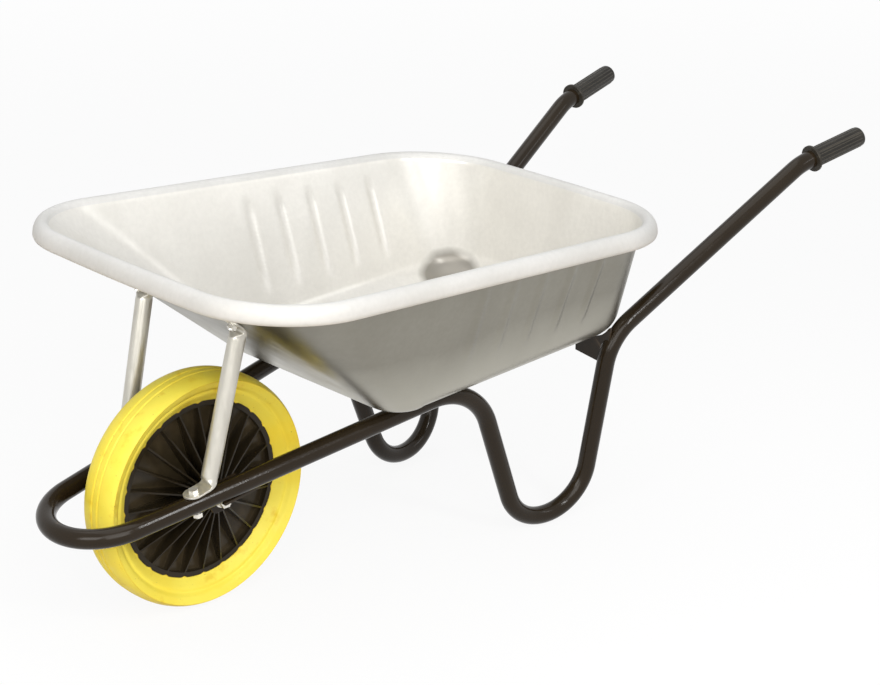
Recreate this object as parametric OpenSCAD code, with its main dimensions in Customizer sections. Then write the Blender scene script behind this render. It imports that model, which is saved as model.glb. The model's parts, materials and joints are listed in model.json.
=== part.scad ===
// Builder's wheelbarrow: a pressed steel tray on one bent tube frame, with a solid puncture-proof wheel.
// Lengths are in millimetres. +X runs from the wheel to the grips, +Y to the pusher's right, +Z up.
// Frame points are measured along X from the wheel axle; move_to_origin() then centres the whole part.

/* [Wheel] */
// Outer diameter of the tyre
wheel_d = 356; // [330:1:370]
// Width of the oval that rounds the tread
tyre_w = 90; // [80:1:96]
// Depth from the crown of the tread down to the oval's centre
tread_depth = 32; // [26:1:36]
// Distance of each tread groove from the middle of the tyre
groove_y = 6.5; // [5:0.5:12]
// Width of a tread groove
groove_w = 3; // [2:0.5:5]
// Depth of a tread groove
groove_depth = 2.5; // [1:0.5:4]
// Radius of the plastic wheel centre, where the tyre sits
centre_r = 135.6; // [120:0.1:138]
// Width of the wheel centre at its edge
centre_edge_w = 25; // [20:1:32]
// Number of ribs on the wheel centre
rib_count = 24; // [12:1:32]
// Thickness of a rib
rib_t = 2.6; // [2:0.2:4]
// Length of the hub barrel
hub_len = 100; // [80:1:110]
// Radius of the hub barrel
hub_r = 19; // [17:0.5:24]

/* [Axle] */
// Diameter of the axle bolt
axle_d = 12; // [10:1:14]
// Hexagon size of the axle bolt and nut, across flats
axle_af = 18; // [17:1:22]
// Outer radius of a wheel bush
bush_r = 11; // [9:0.5:13]
// Length of a bush inside the hub
bush_len = 24; // [15:1:35]
// Thickness of a bush flange
bush_flange_t = 3; // [2:0.5:5]
// Length of the spacer between bush and bracket
spacer_len = 3.7; // [2:0.1:8]
// Radial running clearance of the wheel on its axle
run_gap = 0.1; // [0.05:0.01:0.2]

/* [Frame tube] */
// Outer diameter of the frame tube
tube_d = 28.6; // [25:0.1:34]
// Wall of the frame tube
tube_wall = 2; // [1.2:0.1:3]
// How far the front loop reaches ahead of the axle
loop_reach = 239.7; // [225:0.1:280]
// Half width of the front loop at its corners
loop_half_w = 76.2; // [72:0.1:90]
// Height of the front loop above the axle
loop_up = 3.3; // [-5:0.1:12]
// Rail top corner: distance behind the axle
apex_x = 404.8; // [380:0.1:420]
// Rail top corner: distance from the middle
apex_y = 163.3; // [155:0.1:175]
// Rail top corner: height above the axle
apex_up = 105.8; // [97:0.1:115]
// Front of the foot: distance behind the axle
foot_front_x = 505.4; // [490:0.1:515]
// Front of the foot: distance from the middle
foot_front_y = 157.7; // [150:0.1:170]
// Rear of the foot: distance behind the axle
foot_rear_x = 631.3; // [625:0.1:650]
// Rear of the foot: distance from the middle
foot_rear_y = 174.4; // [165:0.1:185]
// Knee below the handle: distance behind the axle
knee_x = 658.1; // [650:0.1:670]
// Knee below the handle: distance from the middle
knee_y = 203.7; // [195:0.1:215]
// Knee below the handle: height above the axle
knee_up = 121.1; // [112:0.1:132]
// Handle bend: distance behind the axle
handle_x = 1033.4; // [1000:0.1:1060]
// Handle bend: distance from the middle
handle_y = 262.5; // [250:0.1:280]
// Handle bend: height above the axle
handle_up = 342.1; // [322:0.1:382]
// Reach of the handle behind its bend, to the end of the grip
grip_reach = 130.7; // [122:0.1:170]
// How far the handle spreads outwards behind its bend
grip_spread = 17; // [8:0.1:26]
// Rise of the handle behind its bend
grip_lift = 26.9; // [10:0.1:40]
// Bend radius at the rail top and the handle
wide_bend_r = 100; // [80:1:110]
// Bend radius at the knee
knee_bend_r = 88; // [70:1:100]
// Bend radius at the foot
foot_bend_r = 78; // [60:1:82]

/* [Grips] */
// Length of a grip
grip_len = 110; // [90:1:112]
// Radius of the grip sleeve
grip_r = 16.2; // [15.6:0.1:20]
// Radius of the grip collar
collar_r = 22; // [19:0.5:26]
// Thickness of the grip collar
collar_t = 5; // [3:0.5:8]
// Thickness of the closed end of the grip
grip_cap_t = 5; // [3:0.5:8]
// Number of ribs round the grip
grip_ribs = 18; // [8:1:24]

/* [Tray] */
// Sheet thickness of the tray
sheet_t = 1; // [0.8:0.1:2]
// Front edge of the rim ahead of the axle
rim_front = 102.5; // [90:0.1:120]
// Rear edge of the rim behind the axle
rim_rear = 738; // [725:0.1:760]
// Half width of the rim at its front corners
rim_front_half_w = 306.1; // [290:0.1:325]
// Half width of the rim at its rear corners
rim_rear_half_w = 276.9; // [265:0.1:300]
// Corner radius of the rim at the front
rim_front_r = 141; // [110:1:160]
// Corner radius of the rim at the rear
rim_rear_r = 148; // [110:1:160]
// How far the middle of the front edge bows out
front_bow = 7.3; // [2:0.5:14]
// How far the middle of the rear edge bows out
rear_bow = 5.2; // [2:0.5:10]
// Height of the rim straight above the axle
rim_up = 362; // [345:0.1:380]
// Fall of the rim towards the handles, per unit of length
rim_fall = 0.0622; // [0.03:0.0001:0.09]
// Front edge of the floor behind the axle
floor_front = 216.7; // [205:0.1:235]
// Rear edge of the floor behind the axle
floor_rear = 710.7; // [695:0.1:716]
// Half width of the floor at the front
floor_front_half_w = 209; // [195:0.1:220]
// Half width of the floor at the rear
floor_rear_half_w = 195.6; // [188:0.1:212]
// Corner radius of the floor at the front
floor_front_r = 54; // [50:1:70]
// Corner radius of the floor at the rear
floor_rear_r = 66; // [55:1:90]
// Rise of the floor towards the handles, per unit of length
floor_rise = 0.031; // [0.02:0.0001:0.06]
// Radius between the floor and the walls
floor_fillet = 46; // [35:1:50]
// How far the lip stands out from its crest
lip_out = 14; // [10:0.1:20]
// Height of the lip
lip_h = 26.5; // [20:0.1:34]
// Width of the roll between the wall and the crest of the lip
roll_w = 9; // [6:0.5:14]
// Height of the roll between the wall and the crest of the lip
roll_h = 8; // [5:0.5:12]

/* [Front stays] */
// Diameter of a stay tube
stay_d = 25; // [20:0.5:28]
// Wall of a stay tube
stay_wall = 1.5; // [1:0.1:2.5]
// Thickness of a flattened stay end
stay_flat_t = 3.5; // [3:0.1:5]
// Width of a flattened stay end
stay_flat_w = 31; // [26:1:38]
// Length over which the stay changes from round to flat
stay_crimp = 16; // [12:1:30]
// Distance of the stay's foot bolt ahead of the axle
stay_bolt_x = 74; // [66:1:84]
// Distance from the foot bolt to the stay tube's centre
stay_foot_len = 25; // [20:0.5:32]
// Distance of a stay from the middle, at the tray
stay_top_y = 108; // [100:0.5:125]
// Distance down the front wall from the lip to the stay bolt
stay_bolt_drop = 119; // [100:1:140]
// Distance from the tray bolt down to the stay tube's centre
stay_tab_len = 12; // [10:0.5:20]

/* [Brackets] */
// Thickness of the bracket plate
plate_t = 4; // [3:0.5:5]
// Length of an axle bracket along the rail
axle_plate_len = 62; // [50:1:80]
// Height of an axle bracket below the axle
axle_plate_drop = 18; // [14:1:26]
// Rear bracket: distance of its upright web ahead of the knee
web_ahead = 6.1; // [2:0.1:12]
// Rear bracket: distance of its inner end from the middle
web_inner_y = 136; // [128:0.5:145]
// Rear bracket: height of its web at the inner end
web_inner_h = 34; // [26:0.5:44]
// Rear bracket: height of its lower edge beside the tube, below the knee
web_drop = 45; // [35:0.5:60]
// Rear bracket: width of the flange under the floor
flange_w = 24; // [18:0.5:32]

/* [Fasteners] */
// Diameter of the small bolts
bolt_d = 8; // [6:0.5:10]
// Hexagon size of the small nuts and heads, across flats
bolt_af = 13; // [10:0.5:16]
// Floor bolt: distance ahead of the rear bracket's web
floor_bolt_ahead = 11; // [9:0.5:20]
// Floor bolt: distance from the middle
floor_bolt_y = 134; // [120:0.5:142]

/* [Hidden] */
$fn = 64;

// Clearances between pieces
seat_gap = 0.2;    // a piece resting on another
tab_gap = 0.3;     // a stay's flat tab under the front wall, which is a little twisted
weld_gap = 0.1;    // a bracket cut to the tube it is welded to
hole_gap = 0.4;    // radial, a bolt in its hole
thread_gap = 0.05; // radial, a nut on its thread
side_gap = 0.3;    // the bush flange against its spacer

// Vectors and frames
function unit(v) = v / norm(v);
// Matrix of a frame at origin o, with its X axis along x and its Z axis as near to z as it can be
function frame_at(o, x, z) =
    let (ux = unit(x), uy = unit(cross(z, ux)), uz = cross(ux, uy))
    [[ux.x, uy.x, uz.x, o.x], [ux.y, uy.y, uz.y, o.y], [ux.z, uy.z, uz.z, o.z], [0, 0, 0, 1]];
function in_frame(m, p) = let (q = m * [p.x, p.y, p.z, 1]) [q.x, q.y, q.z];

// Round bend of radius r at corner b of the path a, b, c
function half_turn(a, b, c) = acos((unit(b - a)) * (unit(c - b))) / 2;
function tangent_len(a, b, c, r) = r * tan(half_turn(a, b, c));
function bend_centre(a, b, c, r) =
    b + unit(unit(a - b) + unit(c - b)) * r / cos(half_turn(a, b, c));

module along(from, to) {
    d = to - from;
    translate(from) rotate([0, acos(d.z / norm(d)), atan2(d.y, d.x)]) children();
}
module cylinder_between(from, to, r) {
    along(from, to) cylinder(h = norm(to - from), r = r);
}
// Right-hand pieces are drawn at +Y; the left-hand ones are their mirror image
module on_side(side) { mirror([0, side < 0 ? 1 : 0, 0]) children(); }

// --- Frame tube path -------------------------------------------------------
tube_r = tube_d / 2;
// A bend is a hair fatter than the straights, which run a little way into it, so that they join soundly
bend_swell = 0.25;
bend_overlap = 1;
foot_z = tube_r + bend_swell;
axle_z = wheel_d / 2;
// The frame hangs on the axle, so a larger wheel lifts all of it but the feet
handle = [handle_x, handle_y, axle_z + handle_up];
grip_end = handle + [grip_reach, grip_spread, grip_lift];
handle_dir = unit(grip_end - handle);
tube_end = grip_end - handle_dir * grip_cap_t;
path = [
    [-loop_reach, 0, axle_z + loop_up], [-loop_reach, loop_half_w, axle_z + loop_up],
    [apex_x, apex_y, axle_z + apex_up],
    [foot_front_x, foot_front_y, foot_z], [foot_rear_x, foot_rear_y, foot_z],
    [knee_x, knee_y, axle_z + knee_up], handle, tube_end,
];
last = len(path) - 1;
// The front loop is one half circle, so its corner takes all of the half width
loop_r = loop_half_w / tan(half_turn(path[0], path[1], path[2]));
wanted_r = [0, loop_r, wide_bend_r, foot_bend_r, foot_bend_r, knee_bend_r, wide_bend_r, 0];
function wanted_tangent(i) =
    i == 0 || i == last ? 0 : tangent_len(path[i - 1], path[i], path[i + 1], wanted_r[i]);
// Two neighbouring bends share the straight between them, so both shrink where it is too short
function fit(i) = min(1, norm(path[i + 1] - path[i]) / (wanted_tangent(i) + wanted_tangent(i + 1) + 0.5));
bend_r = [for (i = [0:last]) i < 2 || i == last ? wanted_r[i] : wanted_r[i] * min(fit(i - 1), fit(i))];
tangent = [for (i = [0:last]) i == 0 || i == last ? 0
    : tangent_len(path[i - 1], path[i], path[i + 1], bend_r[i])];

// One side of the tube behind the front loop, as straights and bends of radius r
module half_tube(r, run_out = 0) {
    for (i = [1:last - 1]) {
        dir = unit(path[i + 1] - path[i]);
        beyond = i == last - 1 ? run_out : bend_overlap;
        cylinder_between(path[i] + dir * (tangent[i] - bend_overlap),
                         path[i + 1] + dir * (beyond - tangent[i + 1]), r);
        if (i > 1) tube_bend(path[i - 1], path[i], path[i + 1], bend_r[i], 2, r);
    }
}
// Bend at corner b, turning by so many half turns
module tube_bend(a, b, c, bend_r, half_turns, r) {
    centre = bend_centre(a, b, c, bend_r);
    start = b + unit(a - b) * tangent_len(a, b, c, bend_r);
    multmatrix(frame_at(centre, start - centre, cross(b - a, c - b)))
        rotate_extrude(angle = half_turns * half_turn(a, b, c))
            translate([bend_r, 0]) circle(r = r + bend_swell);
}
module front_loop(r) {
    right = path[1];
    left = [right.x, -right.y, right.z];
    tube_bend([path[2].x, -path[2].y, path[2].z], left, right, loop_r, 4, r);
}
// Both sides and the loop; the bore runs out a little way past the ends of the tube
module whole_tube(r, run_out = 0) {
    for (side = [-1, 1]) on_side(side) half_tube(r, run_out);
    front_loop(r);
}

// --- Part origin -----------------------------------------------------------
grip_edge = 4; // rounding of the grip's closed end
rear_reach = grip_end.x + (grip_r - grip_edge) * sqrt(1 - handle_dir.x * handle_dir.x)
    + grip_edge * (1 - handle_dir.x);
middle_x = (rear_reach - loop_reach - tube_r - bend_swell) / 2;
module move_to_origin() { translate([-middle_x, 0, 0]) children(); }

// --- Rail frames -----------------------------------------------------------
rail_dir = unit(path[2] - path[1]);
function rail_at(x) = path[1] + rail_dir * ((x - path[1].x) / rail_dir.x);
function rail_frame(x) = frame_at(rail_at(x), rail_dir, [0, 0, 1]);

// --- Tray surface ----------------------------------------------------------
// The floor rests on the highest point of the rails
apex_centre = bend_centre(path[1], path[2], path[3], bend_r[2]);
apex_normal = unit(cross(path[2] - path[1], path[3] - path[2]));
rail_top = [apex_centre.x,
            apex_centre.z + bend_r[2] * sqrt(1 - apex_normal.z * apex_normal.z) + tube_r + bend_swell];
function floor_under_z(x) = rail_top[1] + seat_gap + floor_rise * (x - rail_top[0]);
function crest_z(x) = axle_z + rim_up - rim_fall * x;

// Outline as [point, outward normal] pairs: six corners, each rounded with a given number of steps
corner_steps = 9;
bow_steps = 4;
bow_tangent = 60;
function rounded_corner(a, b, c, r, steps) =
    let (turn = 2 * half_turn(a, b, c), t = r * tan(turn / 2), u = unit(b - a), v = unit(c - b),
         o = b - u * t + [u.y, -u.x] * -r)
    [for (k = [0:steps]) let (q = turn * k / steps, n = [u.y, -u.x] * cos(q) + u * sin(q)) [o + n * r, n]];
function outline(front, front_w, rear, rear_w, front_r, rear_r, bow_f, bow_r) =
    let (p = [[front - bow_f, 0], [front, -front_w], [rear, -rear_w],
              [rear + bow_r, 0], [rear, rear_w], [front, front_w]],
         turn_f = 2 * half_turn([p[5].x, p[5].y, 0], [p[0].x, p[0].y, 0], [p[1].x, p[1].y, 0]),
         turn_r = 2 * half_turn([p[2].x, p[2].y, 0], [p[3].x, p[3].y, 0], [p[4].x, p[4].y, 0]),
         radii = [bow_tangent / tan(turn_f / 2), front_r, rear_r,
                  bow_tangent / tan(turn_r / 2), rear_r, front_r])
    [for (i = [0:5]) let (steps = i % 3 == 0 ? bow_steps : corner_steps)
        each rounded_corner(p[(i + 5) % 6], p[i], p[(i + 1) % 6], radii[i], steps)];

crest = outline(-rim_front, rim_front_half_w, rim_rear, rim_rear_half_w,
                rim_front_r, rim_rear_r, front_bow, rear_bow);
floor_bow = 0.5; // the floor's front and rear edges are all but straight
floor_line = outline(floor_front, floor_front_half_w, floor_rear, floor_rear_half_w,
                     floor_front_r, floor_rear_r, floor_bow, floor_bow);
ring_n = len(crest);
side_step = 2 * (bow_steps + 1) + 3 * (corner_steps + 1) - 1; // where the right wall meets its rear corner

// Sharp corner of the floor, and top of the wall, at outline step j (underside of the sheet)
function floor_corner(j) = let (p = floor_line[j][0]) [p.x, p.y, floor_under_z(p.x)];
function wall_top(j) =
    let (p = crest[j][0] - crest[j][1] * roll_w) [p.x, p.y, crest_z(p.x) - roll_h - sheet_t];
function inward(j) = let (n = floor_line[j][1]) unit([-n.x, -n.y, -n.x * floor_rise]);

// Section at step j: [point on the underside, normal towards the inside of the tray]
fillet_steps = 6;
wall_steps = 5;
roll_steps = 3;
lip_steps = 4;
function fillet_section(j) =
    let (b = floor_corner(j), n = inward(j), w = unit(wall_top(j) - b),
         between = acos(n * w), bisector = unit(n + w),
         centre = b + bisector * floor_fillet / sin(between / 2), t = floor_fillet / tan(between / 2),
         s = b + n * t - centre, e = b + w * t - centre, arc = 180 - between)
    [for (k = [0:fillet_steps])
        let (f = k / fillet_steps, v = (s * sin((1 - f) * arc) + e * sin(f * arc)) / sin(arc))
        [centre + v, -unit(v)]];
function lip_point(j, out, up, n_out, n_up) =
    let (p = crest[j][0], n = crest[j][1], q = p + n * out, m = unit([n.x * n_out, n.y * n_out, n_up]))
    [[q.x, q.y, crest_z(p.x) + up] - m * sheet_t, m];
// From the wall over the crest, down the flared skirt, and in at the hem
hem_drop = 0.82; // share of the lip's height where it is widest
hem_in = 3;      // how far the hem turns back in
function lip_section(j) = concat(
    [for (k = [1:roll_steps]) let (b = 90 * k / roll_steps)
        lip_point(j, -roll_w * cos(b), -roll_h * (1 - sin(b)), -roll_h * cos(b), roll_w * sin(b))],
    [for (k = [1:lip_steps]) let (b = 90 * k / lip_steps)
        lip_point(j, lip_out * sin(b), -lip_h * hem_drop * (1 - cos(b)),
                  lip_h * hem_drop * sin(b), lip_out * cos(b))],
    [lip_point(j, lip_out - hem_in, -lip_h, 0.8, -0.6)]);
// The wall is a little twisted, so it takes several steps
function wall_section(foot, normal, top) =
    [for (k = [1:wall_steps]) [foot + (top - foot) * k / wall_steps, normal]];
function section(j) = let (f = fillet_section(j), foot = f[fillet_steps])
    concat(f, wall_section(foot[0], foot[1], wall_top(j)), lip_section(j));
ring_count = fillet_steps + 1 + wall_steps + roll_steps + lip_steps + 1;

// Bolt positions on the tray
wall_bottom = [floor_front, stay_top_y, floor_under_z(floor_front)];
wall_edge_x = -rim_front - front_bow * (1 - stay_top_y / rim_front_half_w) + roll_w;
wall_edge = [wall_edge_x, stay_top_y, crest_z(wall_edge_x) - roll_h - sheet_t];
wall_dir = unit(wall_edge - wall_bottom);
wall_bolt = wall_edge - wall_dir * stay_bolt_drop;
bow_share = norm(wall_bolt - wall_bottom) / norm(wall_edge - wall_bottom);
wall_across = [front_bow / rim_front_half_w * bow_share, 1, 0];
// Frame on the underside of the front wall: X up the wall, Z out of the tray
wall_frame = frame_at(wall_bolt, wall_dir, cross(wall_dir, wall_across));
web_x = knee_x - web_ahead;
floor_bolt_x = web_x - floor_bolt_ahead;
floor_bolt = [floor_bolt_x, floor_bolt_y, floor_under_z(floor_bolt_x)];
floor_frame = frame_at(floor_bolt, [1, 0, floor_rise], [0, 0, 1]);

module tray() {
    color("gainsboro") move_to_origin() difference() {
        tray_sheet();
        for (side = [-1, 1]) on_side(side) {
            multmatrix(wall_frame) bolt_hole();
            multmatrix(floor_frame) bolt_hole();
        }
    }
}
module tray_sheet() {
    sections = [for (j = [0:ring_n - 1]) section(j)];
    under = [for (k = [0:ring_count - 1]) for (j = [0:ring_n - 1]) sections[j][k][0]];
    inside = [for (k = [0:ring_count - 1]) for (j = [0:ring_n - 1])
        sections[j][k][0] + sections[j][k][1] * sheet_t];
    n = ring_n * ring_count;
    function at(k, j) = k * ring_n + j % ring_n;
    skin = [for (k = [0:ring_count - 2]) for (j = [0:ring_n - 1])
        each [[at(k, j), at(k + 1, j), at(k + 1, j + 1)], [at(k, j), at(k + 1, j + 1), at(k, j + 1)]]];
    hem = [for (j = [0:ring_n - 1]) let (a = at(ring_count - 1, j), b = at(ring_count - 1, j + 1))
        each [[a, a + n, b + n], [a, b + n, b]]];
    floor_face = [for (j = [0:ring_n - 1]) j];
    polyhedron(concat(under, inside), concat(
        [floor_face],
        skin,
        [[for (j = [ring_n - 1:-1:0]) j + n]],
        [for (f = skin) [f[2] + n, f[1] + n, f[0] + n]],
        hem));
}
module bolt_hole() {
    reach = 20;
    translate([0, 0, -reach]) cylinder(h = 2 * reach, r = bolt_d / 2 + hole_gap);
}

// --- Frame tube ------------------------------------------------------------
module frame_tube() {
    color("#1c1713") move_to_origin() difference() {
        whole_tube(tube_r);
        whole_tube(tube_r - tube_wall, 1);
        for (side = [-1, 1]) on_side(side) multmatrix(rail_frame(-stay_bolt_x)) bolt_hole();
    }
}

// --- Grips -----------------------------------------------------------------
grip_rib_r = 0.9;
module grip(side) {
    color("#151515") move_to_origin() on_side(side)
        along(grip_end - handle_dir * grip_len, grip_end) difference() {
            union() {
                rotate_extrude() polygon(concat(
                    [[0, 0], [collar_r - 1, 0], [collar_r, 1], [collar_r, collar_t - 1],
                     [collar_r - 1, collar_t], [grip_r, collar_t + 2]],
                    [for (q = [0:15:90]) [grip_r - grip_edge + grip_edge * cos(q),
                                          grip_len - grip_edge + grip_edge * sin(q)]],
                    [[0, grip_len]]));
                for (k = [0:grip_ribs - 1]) rotate([0, 0, 360 * k / grip_ribs])
                    translate([grip_r - 0.2, 0, collar_t + 3])
                        cylinder(h = grip_len - collar_t - 3 - 2 * grip_edge, r = grip_rib_r, $fn = 16);
            }
            translate([0, 0, -1])
                cylinder(h = grip_len - grip_cap_t + 1 + thread_gap, r = tube_r + thread_gap);
        }
}
module left_grip() { grip(-1); }
module right_grip() { grip(1); }

// --- Front stays -----------------------------------------------------------
stay_foot_in = 4; // the stay tube stands this far inboard of its foot bolt
vent_r = 3;
vent_up = 14; // vent hole above the lower end of the round tube
flat_mid = stay_flat_t / 2;
foot_plane = tube_r + seat_gap;
stay_foot = in_frame(rail_frame(-stay_bolt_x), [stay_foot_len, -stay_foot_in, foot_plane + flat_mid]);
stay_top = in_frame(wall_frame, [-stay_tab_len, 0, tab_gap + flat_mid]);
stay_dir = unit(stay_top - stay_foot);
round_low = stay_foot + stay_dir * stay_crimp;
round_high = stay_top - stay_dir * stay_crimp;

// Flat end with a round nose, its bolt at the frame's origin and its root at [root_x, root_y]
module flat_end(root_x, root_y, base) {
    r = stay_flat_w / 2;
    translate([0, 0, base]) difference() {
        union() {
            cylinder(h = stay_flat_t, r = r);
            linear_extrude(stay_flat_t)
                polygon([[0, -r], [root_x, root_y - r], [root_x, root_y + r], [0, r]]);
        }
        translate([0, 0, -1]) cylinder(h = stay_flat_t + 2, r = bolt_d / 2 + hole_gap);
    }
}
// The crimp between them runs from a thin slab inside the flat end to a thin disc inside the round tube
slab_inset = 0.15;
disc_inset = 0.5;
crimp_sink = 2;
module flat_root(root_x, root_y, base) {
    translate([root_x, root_y - stay_flat_w / 2 + slab_inset, base + slab_inset])
        cube([2, stay_flat_w - 2 * slab_inset, stay_flat_t - 2 * slab_inset]);
}
module round_root(end, dir) {
    cylinder_between(end + dir * (crimp_sink - 1), end + dir * crimp_sink, stay_d / 2 - disc_inset, $fn = 32);
}
module front_stay(side) {
    color("silver") move_to_origin() on_side(side) difference() {
        union() {
            cylinder_between(round_low, round_high, stay_d / 2);
            multmatrix(rail_frame(-stay_bolt_x)) flat_end(stay_foot_len, -stay_foot_in, foot_plane);
            multmatrix(wall_frame) flat_end(-stay_tab_len, 0, tab_gap);
            hull() {
                multmatrix(rail_frame(-stay_bolt_x)) flat_root(stay_foot_len - 3, -stay_foot_in, foot_plane);
                round_root(round_low, stay_dir);
            }
            hull() {
                multmatrix(wall_frame) flat_root(1 - stay_tab_len, 0, tab_gap);
                round_root(round_high, -stay_dir);
            }
        }
        cylinder_between(round_low + stay_dir * 2 * crimp_sink, round_high - stay_dir * 2 * crimp_sink,
                         stay_d / 2 - stay_wall);
        // Vent hole low on the rear of the tube, which galvanising needs
        translate(round_low + stay_dir * vent_up) rotate([0, 90, 0]) cylinder(h = stay_d, r = vent_r);
    }
}
module left_front_stay() { front_stay(-1); }
module right_front_stay() { front_stay(1); }

// --- Axle brackets ---------------------------------------------------------
hub_end = hub_len / 2 + bush_flange_t + side_gap;
plate_inner = hub_end + spacer_len;
plate_outer = plate_inner + plate_t;
rail_slope = atan2(rail_dir.z, rail_dir.x);
cradle = 1.5; // how far the bracket's flange reaches up round the tube
plate_side = 10; // height of the plate's upright sides below its flange
plate_nose = 12; // half width of the plate's lowest edge
plate_chamfer = 4; // height of the chamfers beside that edge
module axle_bracket(side) {
    half = axle_plate_len / 2;
    // Height of the flange's top, in a frame tilted with the rail about the axle
    top = (rail_at(0).z - axle_z) * cos(rail_slope) - tube_r + cradle;
    color("#1c1713") move_to_origin() on_side(side) difference() {
        translate([0, 0, axle_z]) rotate([0, -rail_slope, 0]) union() {
            translate([0, plate_outer, 0]) rotate([90, 0, 0]) linear_extrude(plate_t)
                polygon([[-half, top], [-half, top - plate_side],
                         [-axle_plate_drop, plate_chamfer - axle_plate_drop],
                         [-plate_nose, -axle_plate_drop], [plate_nose, -axle_plate_drop],
                         [axle_plate_drop, plate_chamfer - axle_plate_drop],
                         [half, top - plate_side], [half, top]]);
            translate([-half, plate_inner, top - plate_t])
                cube([axle_plate_len, rail_at(0).y + tube_r / 2 - plate_inner, plate_t]);
        }
        translate([0, 0, axle_z]) rotate([-90, 0, 0])
            cylinder(h = plate_outer + 10, r = axle_d / 2 + hole_gap);
        cylinder_between(rail_at(-axle_plate_len), rail_at(axle_plate_len), tube_r + weld_gap);
    }
}
module left_axle_bracket() { axle_bracket(-1); }
module right_axle_bracket() { axle_bracket(1); }

// --- Rear brackets ---------------------------------------------------------
web_clear = 1.5; // the web follows the curve under the tray at this distance
web_land = 6;    // it touches the floor up to this far from where the curve begins
web_sink = 0.2;  // its top edge lies a hair below the flange's
flange_in = 16;  // reach of the flange inboard of its bolt
flange_out = 24; // reach of the flange outboard of its bolt
ear_out = 5;     // the web's top corner stands this far outboard of the knee, in front of the tube
module rear_bracket(side) {
    z_floor = floor_under_z(web_x) - seat_gap - web_sink;
    fillet = fillet_section(side_step);
    flat_edge = fillet[0][0].y;
    low_outer = [knee_y, axle_z + knee_up - web_drop];
    curve = [for (s = fillet) let (q = s[0] - s[1] * web_clear) if (q.y < knee_y + ear_out - 2) [q.y, q.z]];
    curve_end = curve[len(curve) - 1];
    color("#1c1713") move_to_origin() on_side(side) difference() {
        union() {
            translate([web_x + plate_t, 0, 0]) rotate([90, 0, -90]) mirror([1, 0, 0])
                linear_extrude(plate_t) polygon(concat(
                    [[flat_edge - web_land, z_floor], [web_inner_y, z_floor],
                     [web_inner_y, z_floor - web_inner_h], low_outer, [knee_y + ear_out, curve_end.y]],
                    [for (k = [len(curve) - 1:-1:0]) curve[k]]));
            multmatrix(floor_frame) translate([-flange_w / 2, -flange_in, -seat_gap - plate_t])
                cube([flange_w / 2 + web_x + plate_t - floor_bolt_x, flange_in + flange_out, plate_t]);
        }
        half_tube(tube_r + weld_gap);
        multmatrix(floor_frame) bolt_hole();
    }
}
module left_rear_bracket() { rear_bracket(-1); }
module right_rear_bracket() { rear_bracket(1); }

// --- Wheel -----------------------------------------------------------------
// Half angle of the tread's oval that is kept before the sidewall begins
tread_angle = 47;
oval_power = 0.77;
// The sidewall, from the bead to the tread: [share of the way, height over the straight line].
// It bulges twice, with a valley between.
sidewall = [[0, 0], [0.42, 2.4], [0.55, -1.6], [0.71, 1.7]];
function oval(q) = [
    wheel_d / 2 - tread_depth + tread_depth * pow(cos(q), oval_power),
    tyre_w / 2 * sign(q) * pow(sin(abs(q)), oval_power)];
module on_axle() { translate([0, 0, axle_z]) rotate([-90, 0, 0]) children(); }
module tyre() {
    bead = [centre_r + thread_gap, centre_edge_w / 2];
    shoulder = oval(tread_angle);
    side_wall = [for (s = sidewall) bead + (shoulder - bead) * s[0] + [0, s[1]]];
    last = len(side_wall) - 1;
    color("#f7d917") move_to_origin() on_axle() difference() {
        rotate_extrude($fn = 128) polygon(concat(
            [for (q = side_wall) [q.x, -q.y]],
            [for (k = [-8:8]) oval(tread_angle * k / 8)],
            [for (k = [0:last]) side_wall[last - k]]));
        for (side = [-1, 1]) translate([0, 0, side * groove_y - groove_w / 2]) difference() {
            cylinder(h = groove_w, r = wheel_d / 2 + 1, $fn = 128);
            cylinder(h = groove_w, r = wheel_d / 2 - groove_depth, $fn = 128);
        }
    }
}
edge_ring_t = 8;
web_t = 5;
module wheel_centre() {
    half_hub = hub_len / 2;
    half_edge = centre_edge_w / 2;
    color("#161412") move_to_origin() on_axle() difference() {
        union() {
            translate([0, 0, -half_hub]) cylinder(h = hub_len, r = hub_r);
            translate([0, 0, -web_t / 2]) cylinder(h = web_t, r = centre_r - edge_ring_t / 2, $fn = 128);
            difference() {
                translate([0, 0, -half_edge]) cylinder(h = centre_edge_w, r = centre_r, $fn = 128);
                translate([0, 0, -half_edge - 1])
                    cylinder(h = centre_edge_w + 2, r = centre_r - edge_ring_t, $fn = 128);
            }
            for (k = [0:rib_count - 1]) rotate([0, 0, 360 * k / rib_count])
                rotate([90, 0, 0]) translate([0, 0, -rib_t / 2]) linear_extrude(rib_t) polygon([
                    [hub_r - 2, -half_hub + 3], [centre_r - edge_ring_t / 2, -half_edge + 1],
                    [centre_r - edge_ring_t / 2, half_edge - 1], [hub_r - 2, half_hub - 3]]);
        }
        translate([0, 0, -half_hub - 1]) cylinder(h = hub_len + 2, r = bush_r);
    }
}
module wheel_bush(side) {
    color("#3a3a3a") move_to_origin() on_side(side) on_axle() difference() {
        union() {
            translate([0, 0, hub_len / 2 - bush_len]) cylinder(h = bush_len + 1, r = bush_r - thread_gap);
            translate([0, 0, hub_len / 2]) cylinder(h = bush_flange_t, r = bush_r + 5);
        }
        translate([0, 0, hub_len / 2 - bush_len - 1])
            cylinder(h = bush_len + bush_flange_t + 2, r = axle_d / 2 + run_gap);
    }
}
module left_wheel_bush() { wheel_bush(-1); }
module right_wheel_bush() { wheel_bush(1); }

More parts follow.
